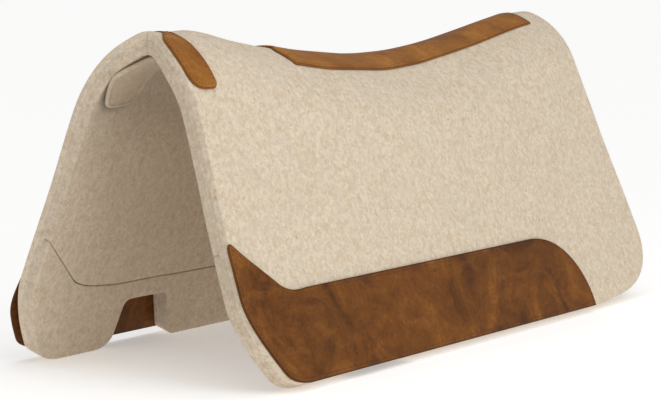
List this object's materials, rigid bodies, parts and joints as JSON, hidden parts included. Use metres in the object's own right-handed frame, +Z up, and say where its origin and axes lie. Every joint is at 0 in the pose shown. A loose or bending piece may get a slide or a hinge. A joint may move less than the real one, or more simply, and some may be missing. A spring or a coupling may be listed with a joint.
{
  "type": "western felt saddle pad",
  "caption": "Contoured laminated wool felt saddle pad with oiled leather wear patches, a leather strip along its spine, a leather strap over the withers and a felt wither patch beneath.",
  "frame": {"origin": "centre of the footprint, on the surface that the lower edges stand on", "axes": "+Y along the spine from the withers (front) to the rear, +X to the horse's left, +Z up"},
  "size_m": [0.349, 0.8492, 0.3579],
  "materials": {
    "outer_felt": "thick pressed wool felt, pale beige with faint darker flecks, matt and slightly hairy",
    "middle_felt": "pressed wool felt, seen only as a line on the cut edges",
    "inner_felt": "pressed wool felt, natural grey-beige, matt and hairy",
    "patch_felt": "soft pressed wool felt with a sewn border",
    "wear_leather": "oiled dark brown leather, mottled, with dark burnished edges",
    "top_leather": "oiled mid brown leather, lighter where it bends",
    "brown_thread": "waxed brown thread, lockstitched",
    "pale_thread": "thick pale thread in a zigzag seam"
  },
  "bodies": {
    "left_half": {"outer_felt_left": "outer_felt", "middle_felt_left": "middle_felt", "inner_felt_upper_left": "inner_felt", "inner_felt_lower_left": "inner_felt", "wear_leather_left": "wear_leather", "wear_leather_thread_left": "brown_thread", "wither_leather": "top_leather", "wither_leather_thread": "brown_thread", "spine_leather": "top_leather", "spine_leather_thread": "brown_thread", "wither_patch": "patch_felt", "spine_seam_thread": "pale_thread"},
    "right_half": {"outer_felt_right": "outer_felt", "middle_felt_right": "middle_felt", "inner_felt_upper_right": "inner_felt", "inner_felt_lower_right": "inner_felt", "wear_leather_right": "wear_leather", "wear_leather_thread_right": "brown_thread"}
  },
  "joints": [
    {"name": "spine_fold", "type": "hinge", "parent": "left_half", "child": "right_half", "pos_m": [0, 0, 0.322], "axis": [0, 1, 0], "range_deg": [-40, 90], "deforming": ["outer_felt_left", "outer_felt_right", "middle_felt_left", "middle_felt_right", "inner_felt_upper_left", "inner_felt_upper_right", "wither_leather", "wither_leather_thread", "spine_leather", "spine_leather_thread", "wither_patch", "spine_seam_thread"]}
  ]
}
